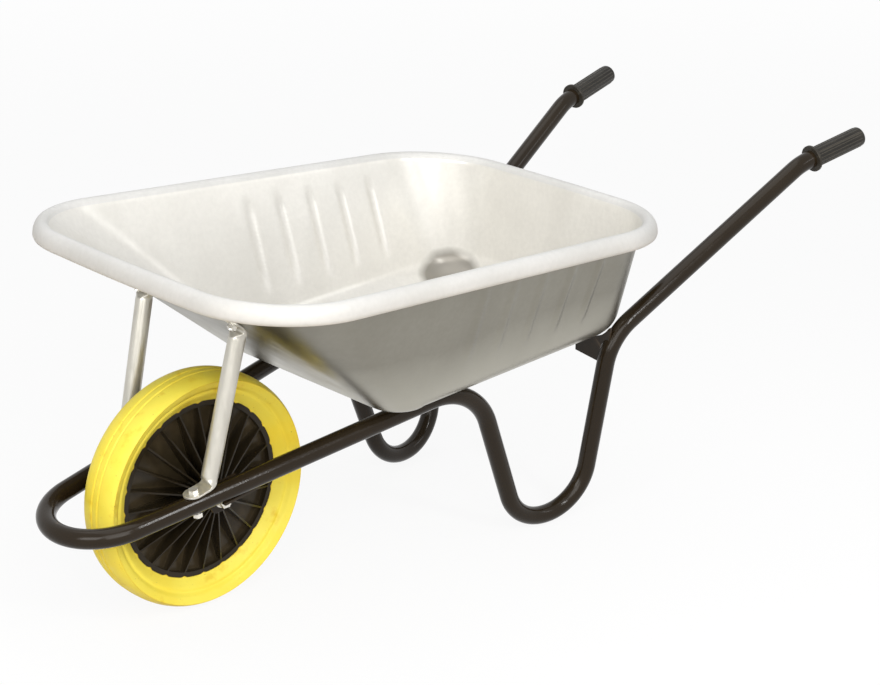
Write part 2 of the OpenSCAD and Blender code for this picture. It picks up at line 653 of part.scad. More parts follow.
// --- Axle hardware ---------------------------------------------------------
washer_t = 2;
axle_nut_t = axle_d * 0.85;
axle_head_t = axle_d * 0.63;
thread_end = 3; // thread past the nut
module hexagon(across_flats, h) { cylinder(h = h, r = across_flats / sqrt(3), $fn = 6); }
module ring(inner_r, outer_r, h) {
    difference() {
        cylinder(h = h, r = outer_r);
        translate([0, 0, -1]) cylinder(h = h + 2, r = inner_r);
    }
}
washer_outer = plate_outer + washer_t;
// The bolt's head is on the right and its nut on the left
module axle_bolt() {
    nut_side = washer_outer + axle_nut_t + thread_end;
    color("lightgray") move_to_origin() on_axle() union() {
        translate([0, 0, -nut_side]) cylinder(h = nut_side + washer_outer, r = axle_d / 2);
        translate([0, 0, washer_outer]) hexagon(axle_af, axle_head_t);
    }
}
module axle_nut() {
    color("lightgray") move_to_origin() on_side(-1) on_axle() translate([0, 0, washer_outer]) difference() {
        hexagon(axle_af, axle_nut_t);
        translate([0, 0, -1]) cylinder(h = axle_nut_t + 2, r = axle_d / 2 + thread_gap);
    }
}
module axle_washers() {
    color("lightgray") move_to_origin() for (side = [-1, 1]) on_side(side) on_axle()
        translate([0, 0, plate_outer]) ring(axle_d / 2 + hole_gap, axle_d, washer_t);
}
module axle_spacers() {
    color("lightgray") move_to_origin() for (side = [-1, 1]) on_side(side) on_axle()
        translate([0, 0, hub_end]) ring(axle_d / 2 + hole_gap, axle_d / 2 + 4, spacer_len);
}

// --- Small bolts -----------------------------------------------------------
nut_t = bolt_d * 0.8;
head_t = bolt_d * 0.65;
cup_r = bolt_d * 1.1;
cup_h = bolt_d * 0.45;
tail = 2; // thread past a small nut
// Bolt with a low domed head: the head sits above z = 0 and the shank runs down
module cup_bolt(grip_t) {
    union() {
        rotate_extrude() polygon(concat(
            [[0, 0]], [for (q = [0:15:90]) [cup_r * cos(q), cup_h * sin(q)]]));
        translate([0, 0, -grip_t - nut_t - tail]) cylinder(h = grip_t + nut_t + tail, r = bolt_d / 2);
    }
}
module small_nut() {
    difference() {
        hexagon(bolt_af, nut_t);
        translate([0, 0, -1]) cylinder(h = nut_t + 2, r = bolt_d / 2 + thread_gap);
    }
}
foot_bolt_top = foot_plane + stay_flat_t;
module stay_foot_bolts() {
    length = foot_bolt_top + tube_r + nut_t + tail;
    color("lightgray") move_to_origin() for (side = [-1, 1]) on_side(side)
        multmatrix(rail_frame(-stay_bolt_x)) translate([0, 0, foot_bolt_top]) union() {
            hexagon(bolt_af, head_t);
            translate([0, 0, -length]) cylinder(h = length, r = bolt_d / 2);
        }
}
module stay_foot_nuts() {
    color("lightgray") move_to_origin() for (side = [-1, 1]) on_side(side)
        multmatrix(rail_frame(-stay_bolt_x)) translate([0, 0, -tube_r - seat_gap - nut_t]) small_nut();
}
module tray_front_bolts() {
    color("lightgray") move_to_origin() for (side = [-1, 1]) on_side(side)
        multmatrix(wall_frame) mirror([0, 0, 1]) translate([0, 0, sheet_t + seat_gap])
            cup_bolt(sheet_t + seat_gap + tab_gap + stay_flat_t);
}
module tray_front_nuts() {
    color("lightgray") move_to_origin() for (side = [-1, 1]) on_side(side)
        multmatrix(wall_frame) translate([0, 0, tab_gap + stay_flat_t]) small_nut();
}
rear_stack = plate_t + seat_gap; // depth of the rear bracket's flange below the floor
module tray_rear_bolts() {
    color("lightgray") move_to_origin() for (side = [-1, 1]) on_side(side)
        multmatrix(floor_frame) translate([0, 0, sheet_t + seat_gap])
            cup_bolt(sheet_t + seat_gap + rear_stack + washer_t);
}
module tray_rear_washers() {
    color("lightgray") move_to_origin() for (side = [-1, 1]) on_side(side)
        multmatrix(floor_frame) translate([0, 0, -rear_stack - washer_t])
            ring(bolt_d / 2 + hole_gap, bolt_d, washer_t);
}
module tray_rear_nuts() {
    color("lightgray") move_to_origin() for (side = [-1, 1]) on_side(side)
        multmatrix(floor_frame) translate([0, 0, -rear_stack - washer_t - nut_t]) small_nut();
}

tray();
frame_tube();
left_grip();
right_grip();
left_front_stay();
right_front_stay();
left_axle_bracket();
right_axle_bracket();
left_rear_bracket();
right_rear_bracket();
tyre();
wheel_centre();
left_wheel_bush();
right_wheel_bush();
axle_bolt();
axle_nut();
axle_washers();
axle_spacers();
stay_foot_bolts();
stay_foot_nuts();
tray_front_bolts();
tray_front_nuts();
tray_rear_bolts();
tray_rear_washers();
tray_rear_nuts();
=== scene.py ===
# %% [markdown]
# # A builder's wheelbarrow
# This lesson dresses a finished CAD model of a wheelbarrow: a pressed steel tray on one bent tube,
# two stays in front, and a yellow puncture-proof wheel. The CAD solids already have the right sizes,
# so Blender's work is the surface of things: smooth pressed sheet, gloss paint, zinc and foam rubber.
# Every position comes from the CAD model or from the named sizes below, in metres. +X points from the
# wheel to the handles, +Y to the pusher's right, and +Z up.

# %% Load the CAD model as the frame
import json
import math

import bpy
from mathutils import Matrix, Vector


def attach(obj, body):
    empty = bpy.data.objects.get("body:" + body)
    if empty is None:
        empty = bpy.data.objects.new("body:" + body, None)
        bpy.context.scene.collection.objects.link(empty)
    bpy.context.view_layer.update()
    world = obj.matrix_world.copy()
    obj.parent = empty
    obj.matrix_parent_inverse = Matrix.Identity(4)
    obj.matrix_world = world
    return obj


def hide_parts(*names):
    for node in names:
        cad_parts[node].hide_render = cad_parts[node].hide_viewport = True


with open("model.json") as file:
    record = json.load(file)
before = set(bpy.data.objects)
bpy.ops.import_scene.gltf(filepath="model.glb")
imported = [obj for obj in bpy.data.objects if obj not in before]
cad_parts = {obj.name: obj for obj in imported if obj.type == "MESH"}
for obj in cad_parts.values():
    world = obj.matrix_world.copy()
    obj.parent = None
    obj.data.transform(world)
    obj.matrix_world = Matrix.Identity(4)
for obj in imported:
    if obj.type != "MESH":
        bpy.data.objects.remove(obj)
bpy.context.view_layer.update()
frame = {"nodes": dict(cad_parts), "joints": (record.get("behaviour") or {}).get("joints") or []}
nodes = frame["nodes"]

# %% [markdown]
# ## The camera
# A camera is a position, two turns and a lens. It looks down on the barrow from the front left, from
# about three metres away, with a long lens, so the near and far sides stay close in size. The small
# roll is that of a camera held by hand.

# %% Place the camera
axle_x = frame["joints"][0]["pos_m"][0]
axle_z = frame["joints"][0]["pos_m"][2]
camera_place = Vector((axle_x - 1.7807, -2.3913, 1.5309))
camera_turn, camera_down, camera_roll = math.radians(-43.4637), math.radians(20.8278), math.radians(0.5376)

camera_data = bpy.data.cameras.new("camera")
camera_data.sensor_fit = "HORIZONTAL"
camera_data.sensor_width = 36.0
camera_data.lens = 91.61
camera = bpy.data.objects.new("camera", camera_data)
bpy.context.scene.collection.objects.link(camera)
forward = Vector((-math.sin(camera_turn) * math.cos(camera_down),
                  math.cos(camera_turn) * math.cos(camera_down), -math.sin(camera_down)))
level = Vector((math.cos(camera_turn), math.sin(camera_turn), 0.0))
above = level.cross(forward)
right = level * math.cos(camera_roll) + above * math.sin(camera_roll)
above = above * math.cos(camera_roll) - level * math.sin(camera_roll)
turned = Matrix((right, above, -forward)).transposed().to_4x4()
camera.matrix_world = Matrix.Translation(camera_place) @ turned
bpy.context.scene.camera = camera
print("camera at", [round(v, 2) for v in camera_place], "lens", camera_data.lens)

# %% [markdown]
# ## Light and floor
# Galvanised sheet shows its shape by how the light falls off over it. A wide lamp beside the camera does
# most of the work, one above fills the tray, and one low down keeps the wheel from going dark. Two small
# lamps are there for their reflections: a small lamp makes a thin bright line in gloss paint, which shows
# that the tube is round, and another in the fold between the tray's floor and its wall. The white of the
# floor and the background is only shown to the camera and to reflections, so it adds no light to the
# barrow, and what the floor does give back is warm and dim. Near the barrow a tenth of the floor's shade
# comes from the lamps, which keeps the shadow; further out the floor fades to plain white.

# %% Make the lamps
def soft_lamp(name, place, aim, size, watts, tint=(1.0, 1.0, 1.0)):
    """A square area lamp at a place, pointing at another."""
    data = bpy.data.lights.new(name, "AREA")
    data.shape = "RECTANGLE"
    data.size, data.size_y = size
    data.energy = watts
    data.color = tint
    lamp = bpy.data.objects.new(name, data)
    lamp.location = place
    lamp.rotation_euler = (Vector(aim) - Vector(place)).to_track_quat("-Z", "Y").to_euler()
    bpy.context.scene.collection.objects.link(lamp)


middle = Vector((0.0, 0.0, 0.35))
wheel_middle = Vector((axle_x, 0.0, axle_z))
soft_lamp("lamp_above", (-0.3, 0.1, 2.9), middle, (3.0, 2.4), 27, (1.0, 0.98, 0.95))
soft_lamp("lamp_camera_side", (-2.2, -2.9, 2.5), middle, (2.6, 1.8), 50, (1.0, 0.98, 0.95))
soft_lamp("lamp_front", (-3.2, -0.9, 1.6), middle, (1.6, 1.2), 31, (1.0, 0.98, 0.94))
soft_lamp("lamp_low", (-1.7, -2.2, 0.85), wheel_middle, (1.5, 0.7), 12.5, (1.0, 0.98, 0.94))
soft_lamp("lamp_line", (axle_x + 0.30, -2.13, 1.74), wheel_middle, (0.3, 0.9), 16)
soft_lamp("lamp_right", (1.54, -1.80, 1.50), (0.0, 0.2, 0.3), (0.9, 0.3), 3.0)

# %% Make the world and the floor
def background_share(tree):
    """1 for a ray that should see the plain background: from the camera, or by way of gloss or glass."""
    path = tree.nodes.new("ShaderNodeLightPath")
    first = tree.nodes.new("ShaderNodeMath")
    first.operation = "MAXIMUM"
    second = tree.nodes.new("ShaderNodeMath")
    second.operation = "MAXIMUM"
    tree.links.new(path.outputs["Is Camera Ray"], first.inputs[0])
    tree.links.new(path.outputs["Is Glossy Ray"], first.inputs[1])
    tree.links.new(first.outputs[0], second.inputs[0])
    tree.links.new(path.outputs["Is Transmission Ray"], second.inputs[1])
    return second.outputs[0]


world = bpy.data.worlds.new("studio")
world.use_nodes = True
bpy.context.scene.world = world
tree = world.node_tree
tree.nodes.clear()
dim = tree.nodes.new("ShaderNodeBackground")
dim.inputs["Color"].default_value = (0.93, 0.96, 1.0, 1.0)
dim.inputs["Strength"].default_value = 0.36
white = tree.nodes.new("ShaderNodeBackground")
white.inputs["Color"].default_value = (1.0, 1.0, 1.0, 1.0)
white.inputs["Strength"].default_value = 1.0
pick = tree.nodes.new("ShaderNodeMixShader")
out = tree.nodes.new("ShaderNodeOutputWorld")
tree.links.new(background_share(tree), pick.inputs["Fac"])
tree.links.new(dim.outputs[0], pick.inputs[1])
tree.links.new(white.outputs[0], pick.inputs[2])
tree.links.new(pick.outputs[0], out.inputs["Surface"])

floor_paint = bpy.data.materials.new("studio_floor")
floor_paint.use_nodes = True
tree = floor_paint.node_tree
tree.nodes.clear()
given = tree.nodes.new("ShaderNodeBsdfDiffuse")
given.inputs["Color"].default_value = (0.52, 0.42, 0.30, 1.0)
matt = tree.nodes.new("ShaderNodeBsdfDiffuse")
matt.inputs["Color"].default_value = (0.95, 0.95, 0.95, 1.0)
glow = tree.nodes.new("ShaderNodeEmission")
glow.inputs["Strength"].default_value = 1.0
shown = tree.nodes.new("ShaderNodeMixShader")
spot = tree.nodes.new("ShaderNodeTexCoord")
away = tree.nodes.new("ShaderNodeVectorMath")
away.operation = "LENGTH"
fade = tree.nodes.new("ShaderNodeMapRange")
for socket, number in (("From Min", 1.5), ("From Max", 5.0), ("To Min", 0.9), ("To Max", 1.0)):
    fade.inputs[socket].default_value = number
tree.links.new(spot.outputs["Object"], away.inputs[0])
tree.links.new(away.outputs["Value"], fade.inputs["Value"])
tree.links.new(fade.outputs["Result"], shown.inputs["Fac"])
pick = tree.nodes.new("ShaderNodeMixShader")
out = tree.nodes.new("ShaderNodeOutputMaterial")
tree.links.new(matt.outputs[0], shown.inputs[1])
tree.links.new(glow.outputs[0], shown.inputs[2])
tree.links.new(background_share(tree), pick.inputs["Fac"])
tree.links.new(given.outputs[0], pick.inputs[1])
tree.links.new(shown.outputs[0], pick.inputs[2])
tree.links.new(pick.outputs[0], out.inputs["Surface"])

floor_mesh = bpy.data.meshes.new("studio_floor")
reach = 14.0
floor_mesh.from_pydata([(-reach, -reach, -0.001), (reach, -reach, -0.001), (reach, reach, -0.001),
                        (-reach, reach, -0.001)], [], [(0, 1, 2, 3)])
floor_mesh.materials.append(floor_paint)
studio_floor = bpy.data.objects.new("studio_floor", floor_mesh)
bpy.context.scene.collection.objects.link(studio_floor)
bpy.context.scene.view_settings.view_transform = "Standard"
print("floor and world are white to the camera")

# %% [markdown]
# ## How the finishes are built
# Every finish here starts from the Principled shader, with the values that are the same all over set
# on its own sockets. What varies, such as the bloom on zinc or the grime on rubber, comes from noise
# in object space, so it has a real size: a scale of 40 gives patches of about 25 mm.

# %% A small kit for finishes
class Finish:
    """A material with the noise, blends and bumps that a real surface has."""

    def __init__(self, name, roughness, metallic=0.0, **sockets):
        self.material = bpy.data.materials.new(name)
        self.material.use_nodes = True
        self.tree = self.material.node_tree
        self.shader = self.tree.nodes["Principled BSDF"]
        self.shader.inputs["Roughness"].default_value = roughness
        self.shader.inputs["Metallic"].default_value = metallic
        for socket, value in sockets.items():
            self.shader.inputs[socket.replace("_", " ")].default_value = value
        self.place = self.tree.nodes.new("ShaderNodeTexCoord").outputs["Object"]

    def _stretched(self, stretch):
        if stretch is None:
            return self.place
        mapping = self.tree.nodes.new("ShaderNodeMapping")
        mapping.inputs["Scale"].default_value = stretch
        self.tree.links.new(self.place, mapping.inputs["Vector"])
        return mapping.outputs["Vector"]

    def noise(self, scale, detail=3.0, stretch=None):
        """Soft cloudy values round 0.5."""
        node = self.tree.nodes.new("ShaderNodeTexNoise")
        node.inputs["Scale"].default_value = scale
        node.inputs["Detail"].default_value = detail
        self.tree.links.new(self._stretched(stretch), node.inputs["Vector"])
        return node.outputs["Fac"]

    def spread(self, value, low, high, new_low=0.0, new_high=1.0):
        """Stretches the values from low..high to new_low..new_high, and stops there."""
        node = self.tree.nodes.new("ShaderNodeMapRange")
        self.tree.links.new(value, node.inputs["Value"])
        limits = {"From Min": low, "From Max": high, "To Min": new_low, "To Max": new_high}
        for name, number in limits.items():
            node.inputs[name].default_value = number
        return node.outputs["Result"]

    def edge_wear_and_hollow_shade(self, low=0.51, high=0.56):
        """1 on sharp outer edges, where handling rubs a surface; in hollows if low is above high, which is
        used for painted shade.
        """
        geometry = self.tree.nodes.new("ShaderNodeNewGeometry")
        return self.spread(geometry.outputs["Pointiness"], low, high)

    def along(self, axis, low, high, ragged=0.0):
        """0 at one height (or other coordinate) and 1 at another; ragged moves the edge in and out."""
        split = self.tree.nodes.new("ShaderNodeSeparateXYZ")
        size = self.tree.nodes.new("ShaderNodeMath")
        size.operation = "ABSOLUTE"
        frayed = self.tree.nodes.new("ShaderNodeMath")
        frayed.operation = "MULTIPLY_ADD"
        frayed.inputs[1].default_value = ragged
        self.tree.links.new(self.place, split.inputs[0])
        self.tree.links.new(split.outputs[axis], size.inputs[0])
        self.tree.links.new(self.noise(7.0, 2.0), frayed.inputs[0])
        self.tree.links.new(size.outputs[0], frayed.inputs[2])
        return self.spread(frayed.outputs[0], low, high)

    def both_sides(self, point, reach, ragged):
        """1 near a point and near its mirror image on the other side, with a ragged, fading edge."""
        split = self.tree.nodes.new("ShaderNodeSeparateXYZ")
        positive = self.tree.nodes.new("ShaderNodeMath")
        positive.operation = "ABSOLUTE"
        folded = self.tree.nodes.new("ShaderNodeCombineXYZ")
        away = self.tree.nodes.new("ShaderNodeVectorMath")
        away.operation = "DISTANCE"
        away.inputs[1].default_value = point
        frayed = self.tree.nodes.new("ShaderNodeMath")
        frayed.operation = "MULTIPLY_ADD"
        frayed.inputs[1].default_value = ragged
        self.tree.links.new(self.place, split.inputs[0])
        self.tree.links.new(split.outputs["Y"], positive.inputs[0])
        self.tree.links.new(split.outputs["X"], folded.inputs["X"])
        self.tree.links.new(positive.outputs[0], folded.inputs["Y"])
        self.tree.links.new(split.outputs["Z"], folded.inputs["Z"])
        self.tree.links.new(folded.outputs[0], away.inputs[0])
        self.tree.links.new(self.noise(30.0, 4.0), frayed.inputs[0])
        self.tree.links.new(away.outputs["Value"], frayed.inputs[2])
        return self.spread(frayed.outputs[0], reach, reach * 0.75)

    def mix(self, share, first, second):
        """Blends two colours, given as numbers or as a socket."""
        node = self.tree.nodes.new("ShaderNodeMix")
        node.data_type = "RGBA"
        self.tree.links.new(share, node.inputs[0])
        for socket, colour in ((node.inputs[6], first), (node.inputs[7], second)):
            if isinstance(colour, bpy.types.NodeSocket):
                self.tree.links.new(colour, socket)
            else:
                socket.default_value = (*colour, 1.0)
        return node.outputs[2]

    def colour(self, value):
        self.tree.links.new(value, self.shader.inputs["Base Color"])

    def roughness(self, value):
        self.tree.links.new(value, self.shader.inputs["Roughness"])

    def bumps(self, *layers):
        """Adds height layers, each (value, depth in metres), one on top of the other."""
        normal = None
        for value, depth in layers:
            node = self.tree.nodes.new("ShaderNodeBump")
            node.inputs["Strength"].default_value = 1.0
            node.inputs["Distance"].default_value = depth
            self.tree.links.new(value, node.inputs["Height"])
            if normal is not None:
                self.tree.links.new(normal, node.inputs["Normal"])
            normal = node.outputs["Normal"]
        self.tree.links.new(normal, self.shader.inputs["Normal"])


print("finish kit ready")

# %% [markdown]
# ## Galvanised sheet
# The tray is hot-dip galvanised. New zinc is pale and a little warm where light rakes it, with a faint
# fine mottle, soft cloudy bloom, and long shallow waves that the press leaves in the sheet.
# The waves matter most: they bend the reflections, so they go in as bump and not as colour. The outside
# gets the same recipe in a much darker tone, which is painted shade, since it faces down to the floor, and
# it is paler low down, which is painted light from the floor. Inside, both rear corners get a dull grey
# patch, which is a painted dark reflection in the corner fillets.
# Roughness stays on one side of 0.274 all over a finish: Cycles counts a surface smoother than that as a
# mirror when it cleans up the noise, and a finish that crosses the line gets outlined blots.

# %% Zinc on the inside of the tray and on the rim
rear_corner = (axle_x + 0.672, 0.175, 0.291)


# The thick colour is painted light: it makes the outside paler low down, where the floor lights the wall.
def zinc_sheet(name, pale, dull, roughness, metallic, waves, painted_corner_reflection=None, thick=None):
    zinc = Finish(name, roughness, metallic, IOR=1.5)
    bloom = zinc.spread(zinc.noise(9.0, 4.0, (1.0, 1.0, 0.6)), 0.35, 0.68)
    mottle = zinc.spread(zinc.noise(130.0, 2.0), 0.3, 0.7, 0.0, 0.25)
    clouded = zinc.mix(bloom, pale, dull)
    clouded = zinc.mix(mottle, clouded, tuple(c * 0.86 for c in dull))
    # Painted reflection: a dull grey patch in both rear corner fillets stands in for the dark reflection
    # there.
    if painted_corner_reflection:
        clouded = zinc.mix(zinc.both_sides(rear_corner, 0.066, 0.012), clouded, painted_corner_reflection)
    # Painted light: paler low down on the outside, where the floor lights the wall.
    if thick:
        clouded = zinc.mix(zinc.along("Z", 0.42, 0.34, 0.05), clouded, thick)
    zinc.colour(clouded)
    zinc.roughness(zinc.spread(zinc.noise(26.0, 3.0), 0.3, 0.7, roughness - 0.02, roughness + 0.07))
    zinc.bumps((zinc.noise(4.5, 1.0), waves), (zinc.noise(60.0, 1.0), 0.00003))
    return zinc.material


# The dark grey given here is the painted reflection in the rear corners.
zinc_inside = zinc_sheet("zinc_inside", (0.75, 0.735, 0.695), (0.675, 0.66, 0.62), 0.30, 0.3, 0.0035,
                         painted_corner_reflection=(0.265, 0.25, 0.22))
# Painted shade: the outside zinc is a much darker copy of the inside zinc, since it faces down to the floor.
zinc_outside = zinc_sheet("zinc_outside", (0.275, 0.262, 0.222), (0.245, 0.232, 0.195), 0.32, 0.9, 0.0018,
                          thick=(0.43, 0.415, 0.36))
zinc_rim = zinc_sheet("zinc_rim", (0.70, 0.695, 0.68), (0.64, 0.635, 0.615), 0.55, 0.15, 0.002)
print("zinc:", zinc_inside.name, zinc_outside.name, zinc_rim.name)

# %% Zinc on the stays and the bright zinc of the bolts
def zinc_tube(name):
    zinc = Finish(name, 0.34, 0.6)
    streaks = zinc.spread(zinc.noise(16.0, 3.0, (6.0, 6.0, 0.8)), 0.3, 0.7)
    blotches = zinc.spread(zinc.noise(55.0, 3.0), 0.45, 0.75)
    base = zinc.mix(streaks, (0.65, 0.635, 0.58), (0.53, 0.515, 0.465))
    zinc.colour(zinc.mix(blotches, base, (0.585, 0.57, 0.515)))
    zinc.roughness(zinc.spread(zinc.noise(70.0, 3.0), 0.3, 0.7, 0.28, 0.42))
    zinc.bumps((zinc.noise(24.0, 2.0, (3.0, 3.0, 0.5)), 0.0006), (zinc.noise(500.0, 2.0), 0.00004))
    return zinc.material


def bright_zinc(name):
    plate = Finish(name, 0.2, 0.6)
    haze = plate.spread(plate.noise(180.0, 3.0), 0.35, 0.7)
    plate.colour(plate.mix(haze, (0.86, 0.85, 0.81), (0.72, 0.70, 0.65)))
    plate.roughness(plate.spread(plate.noise(260.0, 2.0), 0.3, 0.7, 0.14, 0.26))
    plate.bumps((plate.noise(700.0, 2.0), 0.00004))
    return plate.material


zinc_stay = zinc_tube("zinc_stay")
zinc_bolt = bright_zinc("zinc_bolt")
print("zinc:", zinc_stay.name, zinc_bolt.name)

# %% [markdown]
# ## Paint, rubber and plastic
# The tube is powder coated: almost black with a brown cast, glossy, with the fine orange-peel that
# powder has. The tyre is solid foam, satin and slightly uneven in its yellow, with ochre scuffs and
# painted ochre shade in its grooves and hollows. Its centre is moulded black plastic; its web between
# the ribs is painted lighter and the outer faces of ribs and ring darker, to cancel the shade and light
# there.

# %% Gloss black powder coat
def powder_coat(name):
    paint = Finish(name, 0.2, 0.0, Specular_IOR_Level=0.22)
    dust = paint.spread(paint.noise(7.0, 5.0), 0.5, 0.8, 0.0, 0.5)
    rubbed = paint.edge_wear_and_hollow_shade(0.53, 0.60)
    base = paint.mix(dust, (0.019, 0.0125, 0.006), (0.028, 0.019, 0.010))
    paint.colour(paint.mix(rubbed, base, (0.055, 0.040, 0.026)))
    paint.roughness(paint.spread(paint.noise(34.0, 4.0), 0.35, 0.75, 0.12, 0.24))
    paint.bumps((paint.noise(260.0, 2.0), 0.00012))
    return paint.material


black_paint = powder_coat("black_powder_coat")
print("paint:", black_paint.name)

# %% Yellow foam rubber
def foam_rubber(name):
    foam = Finish(name, 0.5, 0.0, IOR=1.45)
    patches = foam.spread(foam.noise(11.0, 4.0), 0.42, 0.72)
    scuffs = foam.spread(foam.noise(38.0, 6.0), 0.60, 0.74, 0.0, 0.75)
    specks = foam.spread(foam.noise(330.0, 1.0), 0.74, 0.80, 0.0, 0.6)
    base = foam.mix(patches, (0.98, 0.84, 0.10), (0.95, 0.74, 0.050))
    worn = foam.mix(scuffs, base, (0.80, 0.54, 0.016))
    # Painted shade: the grooves and hollows of the tyre are darkened to ochre, where shade falls.
    painted_hollow_shade = foam.mix(foam.edge_wear_and_hollow_shade(0.485, 0.43), worn, (0.84, 0.58, 0.02))
    foam.colour(foam.mix(specks, painted_hollow_shade, (0.30, 0.20, 0.02)))
    foam.roughness(foam.spread(foam.noise(60.0, 3.0), 0.3, 0.7, 0.42, 0.6))
    foam.bumps((foam.noise(24.0, 3.0), 0.0006), (foam.noise(480.0, 3.0), 0.00012))
    return foam.material


yellow_foam = foam_rubber("yellow_foam")
print("foam:", yellow_foam.name)

# %% Moulded black plastic, grip vinyl and grey nylon
def moulded(name, dark, light, roughness, grain, grain_depth, painted_face_shade=None):
    plastic = Finish(name, roughness, 0.0, Specular_IOR_Level=0.2)
    flow = plastic.spread(plastic.noise(30.0, 4.0), 0.4, 0.72)
    base = plastic.mix(flow, dark, light)
    # Painted light and shade: the outer faces of ribs and ring are darker and the web between them lighter.
    if painted_face_shade:
        plastic.colour(plastic.mix(plastic.along("Y", 0.0035, 0.0105), base, painted_face_shade))
    else:
        plastic.colour(plastic.mix(plastic.edge_wear_and_hollow_shade(), base, tuple(c * 2.2 for c in light)))
    plastic.roughness(plastic.spread(plastic.noise(90.0, 3.0), 0.3, 0.7, roughness - 0.06, roughness + 0.05))
    plastic.bumps((plastic.noise(grain, 2.0), grain_depth))
    return plastic.material


# The last colour is painted shade on the outer faces of the ribs and the ring.
black_plastic = moulded("black_plastic", (0.040, 0.030, 0.016), (0.068, 0.051, 0.028), 0.22, 300.0, 0.00008,
                        (0.022, 0.0165, 0.009))
grip_vinyl = moulded("grip_vinyl", (0.016, 0.0145, 0.012), (0.030, 0.027, 0.022), 0.34, 520.0, 0.00012)
grey_nylon = moulded("grey_nylon", (0.040, 0.040, 0.041), (0.065, 0.065, 0.066), 0.4, 400.0, 0.00008)
print("plastics:", black_plastic.name, grip_vinyl.name, grey_nylon.name)

# %% [markdown]
# ## Making meshes from rings
# Most pieces of a barrow are a section carried along a line: a circle along the tube, a squashed circle
# along a stay, a pressed profile round the tray. So one helper joins a list of rings into a skin, and
# the pieces differ only in how their rings are worked out.

# %% Helpers for skins made of rings
def make_object(name, points, faces, materials, face_slots=None, sharp=40.0):
    """A smooth mesh object; edges that turn more than `sharp` degrees stay crisp."""
    mesh = bpy.data.meshes.new(name)
    mesh.from_pydata([tuple(p) for p in points], [], faces)
    for material in materials:
        mesh.materials.append(material)
    mesh.polygons.foreach_set("use_smooth", [True] * len(mesh.polygons))
    if face_slots:
        mesh.polygons.foreach_set("material_index", face_slots)
    mesh.set_sharp_from_angle(angle=math.radians(sharp))
    mesh.validate()
    made = bpy.data.objects.new(name, mesh)
    bpy.context.scene.collection.objects.link(made)
    return made


def skin(ring_count, ring_size, closed=False, start=0):
    """Quads that join rings of points, each ring a closed loop; closed joins the last ring to the first."""
    quads = []
    for k in range(ring_count if closed else ring_count - 1):
        a, b = start + k * ring_size, start + (k + 1) % ring_count * ring_size
        for j in range(ring_size):
            i = (j + 1) % ring_size
            quads.append((a + j, a + i, b + i, b + j))
    return quads


def place(piece, body, slot, *replaced):
    """Hangs a piece on its body and says which CAD nodes it stands for, and hides them; slot is not used."""
    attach(piece, body)
    if replaced:
        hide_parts(*replaced)
    print(piece.name, "faces:", len(piece.data.polygons), "replaces:", replaced or "nothing")


# %% [markdown]
# ## The frame tube
# One 28.6 mm tube makes the front loop, both rails, the legs and the handles. The line through its
# middle is a list of corners, each rounded by the radius of the bending tool. Blender could bevel a
# curve for this, but a swept mesh keeps every ring square to the line, so the highlights stay even.

# %% The line through the middle of the tube
def mm(*values):
    """A point given in millimetres from the axle's middle line and the ground."""
    x, y, z = values
    return Vector((axle_x + x / 1000, y / 1000, z / 1000))


tube_r = 0.0143
grip_end = mm(1164.1, 279.5, 547.0)
handle_bend = mm(1033.4, 262.5, 520.1)
handle_dir = (grip_end - handle_bend).normalized()
tube_end = grip_end - handle_dir * 0.005
loop_corner = mm(-239.7, 76.2, 181.3)
rail_top = mm(404.8, 163.3, 283.8)
right_side = [tube_end, handle_bend, mm(658.1, 203.7, 299.1), mm(631.3, 174.4, 14.55),
              mm(505.4, 157.7, 14.55), rail_top, loop_corner]
bend_radii = [0.0, 0.100, 0.088, 0.078, 0.078, 0.100, 0.0]


def mirrored(point):
    return Vector((point.x, -point.y, point.z))


def half_turn(a, b, c):
    return (b - a).angle(c - b) / 2


loop_radius = loop_corner.y / math.tan(half_turn(mirrored(loop_corner), loop_corner, rail_top))
bend_radii[-1] = loop_radius
print("loop radius:", round(loop_radius, 4))

# %% Round the corners
def shrink_to_fit(corners, radii):
    """Two neighbouring bends share the straight between them, so both shrink where it is too short."""
    def tangent(i):
        if i in (0, len(corners) - 1):
            return 0.0
        return radii[i] * math.tan(half_turn(corners[i - 1], corners[i], corners[i + 1]))
    def room(i):
        both = tangent(i) + tangent(i + 1) + 0.0005
        return min(1.0, (corners[i + 1] - corners[i]).length / both)
    return [r if i in (0, len(radii) - 1) else r * min(room(i - 1), room(i)) for i, r in enumerate(radii)]


def rounded_line(corners, radii, degrees=3.0):
    """Points along a line whose corners are true arcs."""
    line = [corners[0]]
    for i in range(1, len(corners) - 1):
        a, b, c = corners[i - 1:i + 2]
        turn = 2 * half_turn(a, b, c)
        back, ahead = (a - b).normalized(), (c - b).normalized()
        centre = b + (back + ahead).normalized() * (radii[i] / math.cos(turn / 2))
        start = b + back * (radii[i] * math.tan(turn / 2)) - centre
        side = (b - centre) - start * ((b - centre).dot(start) / start.length_squared)
        side = side.normalized() * radii[i]
        steps = max(2, math.ceil(math.degrees(turn) / degrees))
        for k in range(steps + 1):
            q = turn * k / steps
            line.append(centre + start * math.cos(q) + side * math.sin(q))
    line.append(corners[-1])
    return line


left_side = [mirrored(p) for p in reversed(right_side)]
corners = right_side + left_side
radii = shrink_to_fit(right_side + [mirrored(loop_corner)], bend_radii + [0.0])[:-1]
radii[-1] = loop_radius
tube_line = rounded_line(corners, radii + list(reversed(radii)))
print("tube line:", len(tube_line), "points,",
      round(sum((b - a).length for a, b in zip(tube_line, tube_line[1:])), 3), "m long")

